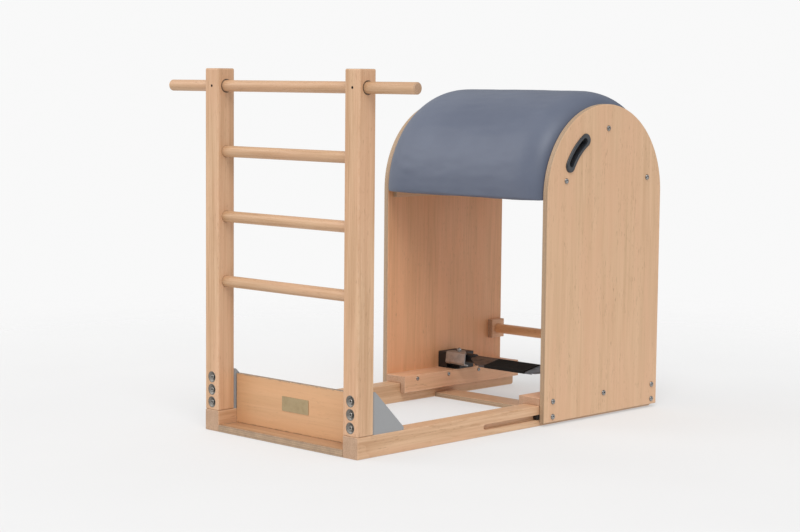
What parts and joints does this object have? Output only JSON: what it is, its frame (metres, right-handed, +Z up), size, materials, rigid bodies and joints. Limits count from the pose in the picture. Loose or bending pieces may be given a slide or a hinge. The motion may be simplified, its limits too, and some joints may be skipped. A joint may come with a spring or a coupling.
{
  "type": "pilates ladder barrel",
  "caption": "Pilates ladder barrel: wooden ladder with handle bar, padded half-round barrel that slides on base rails and is held by a foot-pedal brake.",
  "frame": {"origin": "middle of the overall box, on the floor", "axes": "+X from the ladder towards the barrel, +Y to the left seen from the ladder, +Z up"},
  "size_m": [1.2755, 0.957, 1],
  "materials": {
    "solid_beech": "clear satin lacquer over beech",
    "plywood": "clear satin lacquer over beech plywood",
    "grey_paint": "grey powder coat",
    "bright_fasteners": "bright zinc plate",
    "washer_steel": "dull nickel",
    "dark_screws": "black oxide",
    "plate_brass": "brushed brass, bare",
    "vinyl_pad": "blue-grey vinyl over foam",
    "black_plastic": "matte black moulding",
    "bare_steel": "brushed sheet steel",
    "shaft_steel": "turned steel",
    "black_rubber": "ribbed rubber"
  },
  "bodies": {
    "ladder_base": {"base_rail_left": "solid_beech", "base_rail_right": "solid_beech", "upright_left": "solid_beech", "upright_right": "solid_beech", "handle_bar": "solid_beech", "rung_upper": "solid_beech", "rung_middle": "solid_beech", "rung_lower": "solid_beech", "bar_set_screws": "dark_screws", "gusset_left": "grey_paint", "gusset_right": "grey_paint", "gusset_screws": "bright_fasteners", "upright_bolts": "bright_fasteners", "cup_washers": "washer_steel", "upright_nuts": "bright_fasteners", "foot_plate": "plywood", "foot_board": "plywood", "name_plate": "plate_brass", "cross_board": "plywood"},
    "barrel": {"side_panel_left": "plywood", "side_panel_right": "plywood", "drum_rib_left": "plywood", "drum_rib_right": "plywood", "drum_rib_middle": "plywood", "drum_shell": "plywood", "drum_battens": "solid_beech", "barrel_pad": "vinyl_pad", "hand_grip_left": "black_plastic", "hand_grip_right": "black_plastic", "panel_screws": "bright_fasteners", "stretcher_bar": "solid_beech", "stretcher_block_left": "solid_beech", "stretcher_block_right": "solid_beech", "top_board_left": "solid_beech", "top_board_right": "solid_beech", "slide_strip_left": "solid_beech", "slide_strip_right": "solid_beech", "strip_screws": "bright_fasteners", "guide_strip_left": "black_plastic", "guide_strip_right": "black_plastic", "pivot_block_left": "black_plastic", "pivot_block_right": "black_plastic", "lock_bracket_left": "bare_steel", "lock_bracket_right": "bare_steel", "bracket_bolts": "bright_fasteners"},
    "pedal": {"pedal_plate": "bare_steel", "pedal_grip": "black_rubber", "pedal_shaft": "shaft_steel", "release_levers": "shaft_steel"},
    "brake_left": {"brake_plunger_left": "shaft_steel", "brake_shoe_left": "black_rubber"},
    "brake_right": {"brake_plunger_right": "shaft_steel", "brake_shoe_right": "black_rubber"}
  },
  "joints": [
    {"name": "barrel_slide", "type": "slide", "parent": "ladder_base", "child": "barrel", "axis": [-1, 0, 0], "range_m": [0, 0.219]},
    {"name": "pedal_press", "type": "hinge", "parent": "barrel", "child": "pedal", "pos_m": [0.34625, 0, 0.1133], "axis": [0, -1, 0], "range_deg": [0, 10], "stiffness_Nm_per_rad": 8, "springref_deg": -17.19},
    {"name": "brake_left_lift", "type": "slide", "parent": "barrel", "child": "brake_left", "axis": [0, 0, 1], "range_m": [0, 0.004]},
    {"name": "brake_right_lift", "type": "slide", "parent": "barrel", "child": "brake_right", "axis": [0, 0, 1], "range_m": [0, 0.004]}
  ],
  "couplings": [
    {"joint": "brake_left_lift", "follows": "pedal_press", "m_per_rad": 0.022},
    {"joint": "brake_right_lift", "follows": "pedal_press", "m_per_rad": 0.022}
  ]
}
